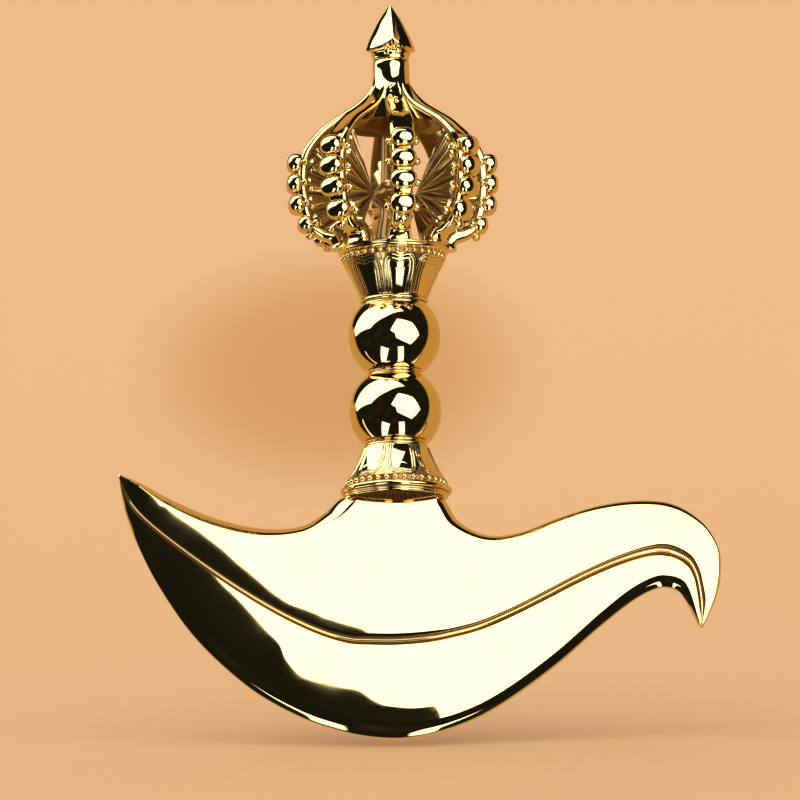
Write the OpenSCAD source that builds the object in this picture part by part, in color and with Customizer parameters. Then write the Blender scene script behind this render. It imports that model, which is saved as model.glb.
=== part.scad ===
// Ritual chopper of polished brass: a crescent blade with a hooked end, hung
// under a turned grip and an eight-pronged crown that closes on a spear point.
// The handle axis is Z, the blade lies in the XZ plane with its hook towards
// +X, and the origin is the middle of the blade's shoulder, under the flange.

/* [Blade] */
// Width of the blade from the pointed end to the back of the hook
blade_span = 138.2; // [115:0.2:165]
// Depth of the blade below the shoulder
blade_drop = 56.2; // [46:0.2:68]
// Thickness of the blade across its flat cheeks
blade_thick = 6.4; // [5.8:0.1:9]
// Width of the flat left along the top of the spine
spine_land = 2.0; // [0.8:0.1:3]
// Thickness left at the cutting edge
edge_land = 0.4; // [0.2:0.1:1]
// Width of the polished bevel above the cutting edge
bevel_w = 2.2; // [1:0.1:3.5]
// Width of the groove that follows the edge
groove_w = 1.8; // [0.8:0.1:3]
// Depth of that groove
groove_depth = 0.4; // [0.1:0.05:0.8]

/* [Tie rod] */
// Diameter of the rod that holds the stack together
rod_d = 4.0; // [3:0.1:4.4]
// Length of the rod screwed into the blade
rod_in_blade = 7.5; // [5:0.5:14]
// Length of the rod screwed into the centre prong
rod_in_crown = 4.3; // [3:0.1:8]
// Clearance round the rod
rod_gap = 0.1; // [0.05:0.05:0.3]

/* [Flange and bead rows] */
// Diameter of the flange over the blade
flange_d = 25.8; // [23:0.2:30]
// Height of that flange
flange_h = 2.1; // [1.4:0.1:4]
// Height of a bead row's band
bead_band_h = 1.5; // [1.4:0.1:2.4]
// Diameter of one bead
bead_d = 1.36; // [0.9:0.02:1.4]
// How far the bead rows stand back from the rim beside them
bead_step = 0.9; // [0.5:0.1:2]
// Number of beads in the lower row
low_beads = 34; // [28:1:48]
// Number of beads in the upper row
high_beads = 36; // [28:1:50]

/* [Lotus collars] */
// Height of the lower collar, whose petals hang down
low_lotus_h = 7.7; // [5:0.1:12]
// Height of the upper collar, whose petals stand up
high_lotus_h = 8.9; // [6:0.1:14]
// Number of petals on each collar
petal_n = 8; // [6:1:10]
// How far a petal stands proud of the collar
petal_relief = 0.5; // [0.3:0.05:0.8]
// Diameter across the petals at the waist of a collar
waist_d = 15.8; // [13:0.1:18]

/* [Grip] */
// Diameter of each of the two balls of the grip
ball_d = 21.2; // [19:0.1:25]
// Diameter of the ring under the lower ball and the height of that ring
low_ring_d = 14.8; // [13:0.1:17]
low_ring_h = 1.7; // [1:0.1:3]
// Diameter of the ring between the balls and the height of that ring
mid_ring_d = 12.6; // [10:0.1:15]
mid_ring_h = 1.5; // [1:0.1:3]
// Diameter of the ring over the upper ball and the height of that ring
high_ring_d = 15.8; // [13:0.1:17]
high_ring_h = 1.8; // [1:0.1:3]

/* [Crown] */
// Diameter of the plate that carries the prongs
plate_d = 25.8; // [23:0.2:30]
// Height of that plate
plate_h = 1.4; // [1.2:0.1:3]
// Number of outer prongs
prong_n = 8; // [6:1:9]
// Turn of the crown and the petals about the handle axis
crown_turn = 6; // [0:1:44]
// Diameter across the crown at its belly
crown_d = 49.4; // [44:0.2:60]
// Height of the prongs over the plate
prong_h = 39.2; // [33:0.2:48]
// Width of a prong's swept body at its belly
prong_w = 5.8; // [4:0.1:6.5]
// Thickness of that body at its belly
prong_t = 4.6; // [3.6:0.1:5.4]
// Thickness of the fan inside a prong
fan_w = 3.2; // [2:0.1:4.5]
// Diameter of the pillows on the back of a prong
pillow_d = 4.4; // [3:0.1:4.8]
// Length of the longest pillow
pillow_len = 6.2; // [4.6:0.1:7.4]
// Diameter of the tenon under a prong
tenon_d = 1.8; // [1.2:0.1:2.2]
// Length of that tenon
tenon_len = 0.9; // [0.5:0.1:1.0]
// Diameter of the centre prong's foot
foot_d = 10; // [8.8:0.2:12]
// Diameter of the knop a third of the way up the centre prong
knop_d = 9.2; // [8:0.2:11]

/* [Neck and point] */
// Height of the neck cap that gathers the prongs
cap_h = 5.2; // [3.5:0.1:8]
// Diameter of the neck cap where it lies on the prongs
cap_d = 8.8; // [8:0.1:10]
// Diameter of the centre prong where it passes the neck cap
neck_shaft_d = 3.4; // [2.4:0.1:3.6]
// Diameter of the stud that the point screws on
stud_d = 2.6; // [1.6:0.1:2.8]
// Length of that stud
stud_len = 5; // [3:0.1:6]
// Width of the point across its corners
point_w = 11.4; // [9:0.1:14]
// Height of the point
point_h = 12.5; // [10:0.1:18]

/* [Hidden] */
$fn = 96;
brass = [0.80, 0.62, 0.27];
steel = [0.72, 0.73, 0.75];
fit = 0.05;                // between parts that are brazed or screwed together
end_gap = 0.5;             // past the end of a rod or stud in its hole
drawn_span = 138.2;        // span and drop at which the rib table below is drawn
drawn_drop = 56.2;
rib_steps = 3;             // stations between two ribs of the blade
path_steps = 2;            // stations between two points of a prong's path
prong_sides = 10;          // sides of a prong's swept body
spine_bulge = 0.75;        // how far the rounding of the spine stands out of a chamfer
bevel_share = 0.42;        // share of the thickness left where the bevel starts
shoulder_reach = 20;       // half width in which the blade is cut off at zero
half_t = blade_thick / 2;
ball_over_ring = 0.6;      // step between a ball's flat and the ring beside it
high_ring_step = 0.2;      // the same at the ring over the upper ball
bead_seat = 0.58;          // share of a bead's diameter that stands out of its band
lotus_step = 0.4;          // how far a collar's rim stands back from its bead row
tenon_wall = 1.2;          // metal left round a tenon at the rim of the plate
arm_inset = 1.25;          // from the neck cap's rim in to the middle of an arm
pillow_seat = 1.35;        // from the middle of a pillow in to the swept body

// Heights up the handle axis, each from the one below it
ball_r = ball_d / 2;
low_seat_r = low_ring_d / 2 + ball_over_ring;
mid_seat_r = mid_ring_d / 2 + ball_over_ring;
high_seat_r = high_ring_d / 2 + high_ring_step;
z_beads = flange_h;
z_lotus = z_beads + bead_band_h;
z_low_ring = z_lotus + low_lotus_h;
z_ball = z_low_ring + low_ring_h;
z_ball_mid = z_ball + sqrt(pow(ball_r, 2) - pow(low_seat_r, 2));
z_mid_ring = z_ball_mid + sqrt(pow(ball_r, 2) - pow(mid_seat_r, 2));
z_ball2 = z_mid_ring + mid_ring_h;
z_ball2_mid = z_ball2 + sqrt(pow(ball_r, 2) - pow(mid_seat_r, 2));
z_high_ring = z_ball2_mid + sqrt(pow(ball_r, 2) - pow(high_seat_r, 2));
z_lotus2 = z_high_ring + high_ring_h;
z_beads2 = z_lotus2 + high_lotus_h;
z_plate = z_beads2 + bead_band_h;
z_crown = z_plate + plate_h;
z_cap = z_crown + prong_h;
z_point = z_cap + cap_h;

// Radii that follow from the sizes above
low_bead_r = flange_d / 2 - bead_step;
high_bead_r = plate_d / 2 - 0.8 * bead_step;
rod_r = rod_d / 2;
root_r = plate_d / 2 - tenon_d / 2 - tenon_wall;
tip_r = cap_d / 2 - arm_inset;
belly_r = crown_d / 2 - pillow_d / 2 - pillow_seat;

// Ribs of the blade from the pointed end to the hook. Each gives, in X and Z,
// the spine, the edge of the cheek, the groove and the cutting edge, and then
// the share of the full thickness there. Over the shoulder the spine runs
// above zero, and the blade is cut off flat at zero.
ribs = [
    [[-63.9, 6.2],   [-63.8, 5.9],   [-63.8, 5.6],   [-63.7, 5.1],   0.16],
    [[-59.0, 4.2],   [-59.5, 3.1],   [-61.3, -0.6],  [-62.5, -2.1],  0.50],
    [[-52.0, 0.2],   [-52.9, -1.1],  [-57.0, -5.6],  [-59.9, -9.6],  0.85],
    [[-42.0, -4.3],  [-42.7, -5.8],  [-49.0, -12.2], [-54.7, -20.3], 1],
    [[-31.5, -6.9],  [-31.7, -8.6],  [-38.5, -19.8], [-46.2, -32.7], 1],
    [[-22.3, -6.6],  [-21.6, -8.2],  [-27.8, -26.5], [-34.3, -44.0], 1],
    [[-16.5, -3.5],  [-13.4, -5.2],  [-18.5, -31.1], [-22.9, -50.8], 1],
    [[-12.6, 0.0],   [-9.4, -1.6],   [-11.5, -33.3], [-13.7, -54.2], 1],
    [[-8.3, 1.5],    [-8.2, 0.6],    [-6.0, -33.7],  [-7.0, -55.7],  1],
    [[0.0, 2.0],     [0.0, 2.0],     [0.0, -33.8],   [0.0, -56.2],   1],
    [[8.3, 1.5],     [8.2, 0.6],     [7.0, -33.3],   [7.0, -55.3],   1],
    [[11.2, -1.0],   [9.4, -2.6],    [13.0, -32.2],  [13.9, -53.3],  1],
    [[14.5, -6.1],   [12.6, -7.4],   [19.0, -30.6],  [20.5, -50.4],  1],
    [[21.0, -9.2],   [20.4, -11.0],  [26.0, -27.7],  [28.0, -45.7],  1],
    [[28.3, -8.6],   [28.6, -10.4],  [33.5, -24.0],  [37.1, -38.9],  1],
    [[37.5, -5.2],   [37.8, -7.0],   [41.5, -19.9],  [46.4, -30.8],  1],
    [[46.8, -2.5],   [47.0, -4.3],   [49.5, -16.4],  [54.0, -24.9],  1],
    [[56.0, -1.5],   [56.0, -3.3],   [57.0, -14.0],  [59.4, -22.1],  1],
    [[64.0, -2.6],   [63.5, -4.4],   [62.0, -13.7],  [62.6, -22.0],  1],
    [[70.5, -7.1],   [69.3, -8.6],   [66.5, -15.8],  [64.5, -22.9],  0.92],
    [[73.8, -12.7],  [72.2, -13.5],  [68.4, -18.8],  [65.7, -24.4],  0.82],
    [[74.3, -18.0],  [72.7, -18.2],  [69.2, -22.2],  [66.8, -26.4],  0.70],
    [[73.4, -23.5],  [72.2, -23.4],  [69.6, -25.4],  [67.8, -28.5],  0.55],
    [[71.6, -28.0],  [70.9, -27.8],  [69.7, -28.4],  [68.6, -30.2],  0.38],
    [[70.0, -31.0],  [69.8, -30.9],  [69.6, -30.9],  [69.3, -31.2],  0.20]];

// Path of a prong. Below, shares of the way from the root out to the belly and
// of the height; above, shares from the tip out to the belly and of the height.
// Then the shares of the full thickness and of the full width.
path_low = [
    [0.00, 0.000, 0.61, 0.88],
    [0.02, 0.066, 0.61, 0.86],
    [0.18, 0.099, 0.61, 0.76],
    [0.40, 0.121, 0.61, 0.70],
    [0.63, 0.136, 0.70, 0.74],
    [0.81, 0.179, 0.80, 0.86],
    [0.94, 0.264, 0.88, 0.93],
    [1.00, 0.375, 0.90, 0.97]];
path_high = [
    [0.99, 0.491, 0.86, 0.96],
    [0.92, 0.572, 0.70, 0.95],
    [0.80, 0.649, 0.57, 0.95],
    [0.64, 0.722, 0.52, 0.93],
    [0.43, 0.789, 0.48, 0.88],
    [0.23, 0.850, 0.48, 0.76],
    [0.09, 0.911, 0.43, 0.50],
    [0.02, 0.961, 0.39, 0.34],
    [0.00, 1.000, 0.37, 0.31]];

// Fan inside a prong, from under the arm round its inner tip to the root:
// shares of the way from the root out to the belly, and of the height.
fan_outline = [
    [0.50, 0.685], [0.40, 0.627], [0.34, 0.535], [0.27, 0.467],
    [0.16, 0.409], [-0.05, 0.366], [-0.05, 0.340], [0.12, 0.298],
    [0.40, 0.264], [0.56, 0.220], [0.64, 0.172], [0.82, 0.177],
    [0.96, 0.264], [1.00, 0.375], [0.98, 0.487], [0.84, 0.593]];

// Pillows down the back of a prong: how far each lies inside the belly as a
// share of its diameter, its share of the height and of the longest pillow.
pillows = [[0.05, 0.506, 0.88], [0, 0.383, 1], [0.14, 0.253, 0.97], [0.70, 0.130, 0.84]];

// Point on a smooth curve between b and c, with a and d as its neighbours
function smooth(a, b, c, d, t) =
    0.5 * (2 * b + (c - a) * t + (2 * a - 5 * b + 4 * c - d) * t * t
           + (3 * b - a - 3 * c + d) * t * t * t);

// A list of points refined to so many steps between two of them
function refine(p, steps) = let (last = len(p) - 1)
    [for (k = [0:last * steps])
        let (i = min(floor(k / steps), last - 1), t = k / steps - i)
        smooth(p[max(i - 1, 0)], p[i], p[i + 1], p[min(i + 2, last)], t)];

function mix(a, b, t) = a + (b - a) * t;

// Point of the blade at depth y, cut off flat at zero near the shoulder
function upright(p, y) = [p[0], y, abs(p[0]) < shoulder_reach ? min(p[1], 0) : p[1]];

// Closed skin over rings of points, with a fan of triangles on each end
module skin(rings) {
    n = len(rings[0]);
    m = len(rings);
    sides = [for (k = [0:m - 2]) for (j = [0:n - 1])
        let (a = k * n + j, b = k * n + (j + 1) % n, c = b + n, d = a + n)
        each [[a, b, c], [a, c, d]]];
    first = [for (j = [1:n - 2]) [0, j + 1, j]];
    final = [for (j = [1:n - 2]) [(m - 1) * n, (m - 1) * n + j, (m - 1) * n + j + 1]];
    polyhedron(points = [for (r = rings) each r], faces = concat(first, sides, final));
}

// One section of the blade from its five smoothed columns
function blade_ring(spine, cheek, groove, edge, h) = let (
    band = min(groove_w / 2, 0.35 * norm(cheek - groove), 0.35 * norm(edge - groove)),
    above = mix(groove, cheek, band / norm(cheek - groove)),
    below = mix(groove, edge, band / norm(edge - groove)),
    bevel = mix(edge, groove, min(bevel_w / norm(groove - edge), 0.45)),
    land = min(spine_land / 2, 0.6 * h),
    thin = min(edge_land / 2, 0.5 * h),
    side = [[spine, land], [mix(spine, cheek, 0.4), mix(land, h, spine_bulge)],
            [cheek, h], [above, h],
            [groove, h - groove_depth * h / half_t], [below, h],
            [bevel, mix(thin, h, bevel_share)], [edge, thin]])
    concat([for (p = side) upright(p[0], -p[1])],
           [for (k = [len(side) - 1:-1:0]) upright(side[k][0], side[k][1])]);

module blade() {
    scale_xz = [blade_span / drawn_span, blade_drop / drawn_drop];
    cols = [for (c = [0:3])
        refine([for (r = ribs) [r[c][0] * scale_xz[0], r[c][1] * scale_xz[1]]], rib_steps)];
    last = len(ribs) - 1;
    color(brass) difference() {
        skin([for (k = [0:last * rib_steps])
            let (i = min(floor(k / rib_steps), last - 1),
                 share = mix(ribs[i][4], ribs[i + 1][4], k / rib_steps - i))
            blade_ring(cols[0][k], cols[1][k], cols[2][k], cols[3][k], half_t * share)]);
        translate([0, 0, -rod_in_blade - end_gap])
            cylinder(r = rod_r + rod_gap, h = rod_in_blade + end_gap + 1);
    }
}

module tie_rod() {
    color(steel) translate([0, 0, -rod_in_blade])
        cylinder(r = rod_r, h = z_crown + rod_in_crown + rod_in_blade);
}

// Bore for the tie rod through a piece between two heights
module rod_bore(z, h) {
    translate([0, 0, z - 1])
        cylinder(r = rod_r + rod_gap, h = h + 2);
}

// Disc with a full round rim
module round_disc(r, h) {
    rotate_extrude() union() {
        square([r - h / 2, h]);
        translate([r - h / 2, h / 2]) intersection() {
            circle(d = h, $fn = 48);
            translate([0, -h]) square([h, 2 * h]);
        }
    }
}

module shoulder_flange() {
    color(brass) difference() {
        round_disc(flange_d / 2, flange_h);
        rod_bore(0, flange_h);
    }
}

// Band of beads of outer radius r at height z
module bead_ring(z, r, count) {
    color(brass) difference() {
        union() {
            translate([0, 0, z])
                cylinder(r = r - bead_seat * bead_d, h = bead_band_h);
            for (i = [0:count - 1])
                rotate([0, 0, 360 / count * (i + 0.5)])
                    translate([r - bead_d / 2, 0, z + bead_band_h / 2])
                        sphere(d = bead_d, $fn = 14);
        }
        rod_bore(z, bead_band_h);
    }
}

module lower_bead_ring() {
    bead_ring(z_beads, low_bead_r, low_beads);
}

module upper_bead_ring() {
    bead_ring(z_beads2, high_bead_r, high_beads);
}

// Turned body of a collar that opens from the waist up to the rim
module lotus_body(h, low_r, high_r, flare) {
    rotate_extrude()
        polygon(concat([[0, 0]],
            [for (k = [0:8]) [mix(low_r, high_r, pow(k / 8, flare)), h * k / 8]],
            [[0, h]]));
}

// Outline of one petal: straight sides and a top of two round lobes
function petal_top(a, h) = h * (0.93 - 0.17 * pow(abs(a), 4) - 0.07 * exp(-pow(a / 0.3, 2)));
function petal_outline(h, low_w, high_w) = concat(
    [[-low_w, -1], [low_w, -1]],
    [for (a = [1:-0.25:-1]) [high_w * a, petal_top(a, h)]]);

module lotus(h, low_r, high_r, flare) {
    low_w = low_r * sin(180 / petal_n) * 0.86;
    high_w = high_r * sin(180 / petal_n) * 0.74;
    lotus_body(h, low_r - petal_relief, high_r - petal_relief, flare);
    intersection() {
        lotus_body(h, low_r, high_r, flare);
        for (i = [0:petal_n - 1])
            rotate([0, 0, -90 + crown_turn + 360 / petal_n * i])
                translate([low_r - 2, 0, 0])
                    rotate([90, 0, 90])
                        linear_extrude(high_r)
                            polygon(petal_outline(h, low_w, high_w));
    }
}

module lower_lotus() {
    color(brass) difference() {
        translate([0, 0, z_lotus + low_lotus_h])
            mirror([0, 0, 1])
                lotus(low_lotus_h, waist_d / 2, low_bead_r - lotus_step, 1.3);
        rod_bore(z_lotus, low_lotus_h);
    }
}

module upper_lotus() {
    color(brass) difference() {
        translate([0, 0, z_lotus2])
            lotus(high_lotus_h, waist_d / 2, high_bead_r - 0.5 * lotus_step, 0.92);
        rod_bore(z_lotus2, high_lotus_h);
    }
}

// Ring of two round bands with a groove between them
module double_ring(z, r, h) {
    color(brass) difference() {
        union() {
            translate([0, 0, z])
                round_disc(r, h / 2);
            translate([0, 0, z + h / 2])
                round_disc(r, h / 2);
        }
        rod_bore(z, h);
    }
}

module lower_ring() {
    double_ring(z_low_ring, low_ring_d / 2, low_ring_h);
}

module middle_ring() {
    double_ring(z_mid_ring, mid_ring_d / 2, mid_ring_h);
}

module upper_ring() {
    double_ring(z_high_ring, high_ring_d / 2, high_ring_h);
}

// Ball of the grip about mid, cut flat from low up to high
module grip_ball(low, mid, high) {
    color(brass) difference() {
        intersection() {
            translate([0, 0, mid]) sphere(r = ball_r);
            translate([0, 0, low]) cylinder(r = ball_r + 1, h = high - low);
        }
        rod_bore(low, high - low);
    }
}

module lower_ball() {
    grip_ball(z_ball, z_ball_mid, z_mid_ring);
}

module upper_ball() {
    grip_ball(z_ball2, z_ball2_mid, z_high_ring);
}

// Puts its child at the place of outer prong i
module at_prong(i) {
    rotate([0, 0, -90 + crown_turn + 360 / prong_n * (i - 1)])
        children();
}

module crown_plate() {
    color(brass) difference() {
        translate([0, 0, z_plate])
            round_disc(plate_d / 2, plate_h);
        rod_bore(z_plate, plate_h);
        for (i = [1:prong_n])
            at_prong(i)
                translate([root_r, 0, z_crown - tenon_len - fit])
                    cylinder(d = tenon_d + 2 * fit, h = tenon_len + 1, $fn = 24);
    }
}

// Place on a prong from a share of the way out and a share of the height
function low_place(p) = [mix(root_r, belly_r, p[0]), z_crown + prong_h * p[1]];
function high_place(p) = [mix(tip_r, belly_r, p[0]), z_crown + prong_h * p[1]];

// Round-cornered section of a prong, across the path and along Y
function prong_section(place, along, thick, width) = let (
    across = [along[1], -along[0]] / norm(along))
    [for (j = [0:prong_sides - 1])
        let (a = 360 / prong_sides * j,
             u = thick * sign(cos(a)) * pow(abs(cos(a)), 0.8),
             v = width * sign(sin(a)) * pow(abs(sin(a)), 0.8))
        [place[0] + across[0] * u, -v, place[1] + across[1] * u]];

module prong_body() {
    places = refine(concat([for (p = path_low) low_place(p)],
                           [for (p = path_high) high_place(p)]), path_steps);
    sizes = refine([for (p = concat(path_low, path_high))
                    [p[2] * prong_t / 2, p[3] * prong_w / 2]], path_steps);
    last = len(places) - 1;
    skin([for (k = [0:last])
        let (along = k == 0 || k == last ? [0, 1] : places[k + 1] - places[k - 1])
        prong_section(places[k], along, sizes[k][0], sizes[k][1])]);
}

module prong_fan() {
    rotate([90, 0, 0])
        linear_extrude(fan_w, center = true)
            polygon([for (p = fan_outline) low_place(p)]);
}

// Pillow with round ends that lies across the back of a prong
module pillow(inset, share, len_share) {
    reach = (pillow_len * len_share - pillow_d) / 2;
    translate([crown_d / 2 - pillow_d * (0.5 + inset), 0, z_crown + prong_h * share]) {
        rotate([90, 0, 0])
            cylinder(d = pillow_d, h = 2 * reach, center = true, $fn = 32);
        for (s = [-1, 1])
            translate([0, s * reach, 0]) sphere(d = pillow_d, $fn = 32);
    }
}

module prong(i) {
    color(brass) at_prong(i) {
        prong_body();
        prong_fan();
        for (p = pillows)
            pillow(p[0], p[1], p[2]);
        translate([root_r, 0, z_crown - tenon_len])
            cylinder(d = tenon_d, h = tenon_len + 0.5, $fn = 24);
    }
}

// Turned shaft in the middle of the crown, tapped below and with a stud above
module centre_prong() {
    foot_r = foot_d / 2;
    knop_r = knop_d / 2;
    neck_r = neck_shaft_d / 2;
    knop_z = z_crown + 0.33 * prong_h;
    step = 0.26 * knop_r;
    color(brass) difference() {
        rotate_extrude() polygon([
            [0, z_crown], [foot_r, z_crown], [foot_r, z_crown + step],
            [0.84 * foot_r, z_crown + 2 * step], [0.72 * foot_r, z_crown + rod_in_crown + step],
            [0.63 * knop_r, knop_z - 3.3 * step], [0.65 * knop_r, knop_z - 2.2 * step],
            [0.91 * knop_r, knop_z - step], [knop_r, knop_z], [0.91 * knop_r, knop_z + step],
            [0.65 * knop_r, knop_z + 2.2 * step], [0.59 * knop_r, knop_z + 3.3 * step],
            [0.48 * knop_r, z_cap - 0.26 * prong_h], [neck_r, z_cap - 0.13 * prong_h],
            [neck_r, z_point], [stud_d / 2, z_point], [stud_d / 2, z_point + stud_len],
            [0, z_point + stud_len]]);
        translate([0, 0, z_crown - 1])
            cylinder(r = rod_r + rod_gap, h = rod_in_crown + end_gap + 1);
    }
}

module neck_cap() {
    cap_r = cap_d / 2;
    color(brass) difference() {
        rotate_extrude() polygon([
            [0, z_cap], [cap_r, z_cap], [cap_r - 0.35, z_cap + 0.25 * cap_h],
            [cap_r - 0.5, z_cap + 0.5 * cap_h], [cap_r - 0.5, z_cap + 0.8 * cap_h],
            [cap_r - 0.9, z_cap + cap_h], [0, z_cap + cap_h]]);
        translate([0, 0, z_cap - 1])
            cylinder(r = neck_shaft_d / 2 + fit, h = cap_h + 2);
    }
}

// Four-sided point with a corner to the front and a bevelled underside
module spear_point() {
    w = point_w / 2;
    color(brass) difference() {
        translate([0, 0, z_point]) rotate_extrude($fn = 4) polygon([
            [0, 0], [0.62 * w, 0], [0.83 * w, 0.06 * point_h], [0.98 * w, 0.14 * point_h],
            [w, 0.23 * point_h], [0.83 * w, 0.40 * point_h], [0.63 * w, 0.58 * point_h],
            [0.43 * w, 0.74 * point_h], [0.22 * w, 0.89 * point_h], [0, point_h]]);
        translate([0, 0, z_point - 1])
            cylinder(d = stud_d + 2 * fit, h = stud_len + end_gap + 1, $fn = 32);
    }
}

blade();
tie_rod();
shoulder_flange();
lower_bead_ring();
lower_lotus();
lower_ring();
lower_ball();
middle_ring();
upper_ball();
upper_ring();
upper_lotus();
upper_bead_ring();
crown_plate();
for (i = [1:prong_n])
    prong(i);
centre_prong();
neck_cap();
spear_point();
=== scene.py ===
"""Ritual chopper of polished brass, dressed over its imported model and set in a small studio.

The handle axis is Z, the blade lies in the XZ plane with its hook towards +X, and the origin
is the middle of the blade's shoulder. Sizes in the property groups are in metres; the tables
and the surface functions work in millimetres, and put() turns them into metres.
"""

import math

import bmesh
import bpy
import numpy as np
from bpy.props import FloatProperty, FloatVectorProperty, IntProperty, PointerProperty
from mathutils import Matrix, Vector


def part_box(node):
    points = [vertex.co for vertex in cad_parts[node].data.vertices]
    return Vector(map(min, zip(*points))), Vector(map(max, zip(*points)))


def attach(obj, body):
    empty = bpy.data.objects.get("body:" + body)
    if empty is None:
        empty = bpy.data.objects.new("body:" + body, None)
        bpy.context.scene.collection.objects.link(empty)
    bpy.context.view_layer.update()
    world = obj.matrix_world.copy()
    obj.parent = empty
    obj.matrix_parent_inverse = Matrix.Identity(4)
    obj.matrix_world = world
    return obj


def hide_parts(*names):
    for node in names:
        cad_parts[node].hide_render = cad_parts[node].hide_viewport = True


bl_info = {
    "name": "Ritual chopper",
    "version": (1, 0, 0),
    "blender": (4, 5, 0),
    "location": "View3D > Sidebar > Chopper",
    "description": "Dresses a ritual chopper of polished brass and sets its studio",
    "category": "Object",
}

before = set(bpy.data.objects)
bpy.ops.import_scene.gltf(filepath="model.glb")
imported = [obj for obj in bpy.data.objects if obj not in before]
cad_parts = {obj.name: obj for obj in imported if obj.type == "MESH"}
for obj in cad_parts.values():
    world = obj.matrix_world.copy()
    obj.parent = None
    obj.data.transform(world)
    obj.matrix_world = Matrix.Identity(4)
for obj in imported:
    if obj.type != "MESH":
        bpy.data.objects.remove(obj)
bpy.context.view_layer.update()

MM = 0.001
CREASE = math.radians(32)


def span(node):
    """Foot, top and radius of a turned CAD node in millimetres."""
    low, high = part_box(node)
    return low.z / MM, high.z / MM, high.x / MM


# Sizes and colours that a user would change


def length(name, text, default, low, high):
    """A length property in metres, with its limits."""
    return FloatProperty(name=name, description=text, default=default, min=low, max=high,
                         unit="LENGTH", subtype="DISTANCE", precision=5)


def colour(name, text, default):
    """A colour property in linear light."""
    return FloatVectorProperty(name=name, description=text, default=default, min=0, max=1,
                               size=3, subtype="COLOR")


class BladeSizes(bpy.types.PropertyGroup):
    """Sizes of the blade's section."""

    thickness: length("Thickness", "Thickness across the flat cheeks", 0.0064, 0.004, 0.009)
    groove_width: length("Groove width", "Width of the moulded groove", 0.0021, 0.0008, 0.0036)
    groove_depth: length("Groove depth", "Depth of the moulded groove", 0.00065, 0.0002, 0.0016)
    set_back: length("Set back", "How far the lower face lies behind the cheek", 0.001, 0, 0.0015)
    bevel_width: length("Bevel width", "Width of the rounded bevel over the edge", 0.0026,
                        0.001, 0.0035)
    edge_thickness: length("Edge thickness", "Thickness left at the edge", 0.0016, 0.0002, 0.004)


class HandleSizes(bpy.types.PropertyGroup):
    """Sizes of the turned handle."""

    bead_size: length("Bead", "Diameter of one bead of the bead rows", 0.00134, 0.0009, 0.0014)
    low_beads: IntProperty(name="Lower beads", description="Beads in the lower row", default=34,
                           min=28, max=60)
    high_beads: IntProperty(name="Upper beads", description="Beads in the upper row", default=36,
                            min=28, max=60)
    petals: IntProperty(name="Petals", description="Petals round each collar", default=8,
                        min=6, max=10)
    petal_relief: length("Petal relief", "How far the petals stand proud", 0.00017,
                         0.0001, 0.0006)
    petal_turn: FloatProperty(name="Petal turn", description="Turn of the petals' ring",
                              default=math.radians(7.8), min=0, max=math.radians(44),
                              subtype="ANGLE")


class CrownSizes(bpy.types.PropertyGroup):
    """Sizes of the crown."""

    turn: FloatProperty(name="Turn", description="Turn of the crown about the handle",
                        default=math.radians(6.8), min=0, max=math.radians(44),
                        subtype="ANGLE")
    lean: FloatProperty(name="Lean", description="How far the crown's belt leans to the front",
                        default=math.radians(4.6), min=0, max=math.radians(8),
                        subtype="ANGLE")
    pillow_length: length("Pillow length", "Length of the longest pillow", 0.0063,
                          0.004, 0.0075)
    rib_depth: length("Rib depth", "Depth of the grooves between a fan's ribs", 0.0014,
                      0.0001, 0.002)


class Finish(bpy.types.PropertyGroup):
    """Colours of the metal, and the painted shade of its recesses."""

    brass: colour("Brass", "Mirror-polished yellow brass", (0.88, 0.68, 0.32))
    # Painted shade: the darker brown brass laid into recesses and the crown's inside, where shade
    # falls.
    recess_shade: colour("Recess", "Brass in the recesses, where the polish doesn't reach",
                   (0.32, 0.17, 0.045))
    steel: colour("Steel", "Plain steel of the tie rod", (0.55, 0.56, 0.58))


class Studio(bpy.types.PropertyGroup):
    """Floor, lights and camera."""

    floor: colour("Floor", "Warm pale floor", (0.707, 0.403, 0.194))
    daylight: FloatProperty(name="Daylight", description="Even light on matt faces", default=1.0,
                            min=0, max=5)
    panel_light: FloatProperty(name="Panel light", description="Brightness of the white panels",
                               default=2.7, min=0, max=20)
    surround: colour("Surround", "Warm light from behind and below", (0.62, 0.355, 0.11))
    distance: length("Camera distance", "From the camera to the middle of the object", 4.0,
                     0.5, 6.0)


# Surfaces worked out with numpy


def smooth_rows(rows, steps):
    """Rows of numbers with steps - 1 new ones between two of them, on a Catmull-Rom curve:
    half of 2b + (c - a)t + (2a - 5b + 4c - d)t^2 + (3b - a - 3c + d)t^3."""
    rows = np.asarray(rows, float)
    last = len(rows) - 1
    place = np.arange(last * steps + 1) / steps
    i = np.minimum(place.astype(int), last - 1)
    t = (place - i)[:, None]
    a = rows[np.maximum(i - 1, 0)]
    b = rows[i]
    c = rows[i + 1]
    d = rows[np.minimum(i + 2, last)]
    return 0.5 * (2 * b + (c - a) * t + (2 * a - 5 * b + 4 * c - d) * t**2
                  + (3 * b - a - 3 * c + d) * t**3)


def mix(a, b, t):
    """Value t of the way from a to b."""
    return a + (b - a) * t


def step_up(x, low, high):
    """Smooth step from 0 at low to 1 at high: 3t^2 - 2t^3."""
    t = np.clip((x - low) / (high - low), 0, 1)
    return t * t * (3 - 2 * t)


def arc(centre, radius, start, end, count):
    """Points (r, z) on an arc of a profile, from one angle in degrees to another."""
    a = np.radians(np.linspace(start, end, count))
    return np.stack([centre[0] + radius * np.cos(a), centre[1] + radius * np.sin(a)], -1)


def turned(profile, count=144):
    """Surface of revolution: a profile point (r, z) goes to (r cos a, r sin a, z)."""
    profile = np.asarray(profile, float)
    a = np.arange(count) * (2 * math.pi / count)
    r = profile[:, :1]
    return np.stack([r * np.cos(a), r * np.sin(a), profile[:, 1:] + 0 * a], -1)


def raised(w, power):
    """The size of w raised to a power, with the sign of w kept."""
    return np.sign(w) * np.abs(w) ** power


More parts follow.
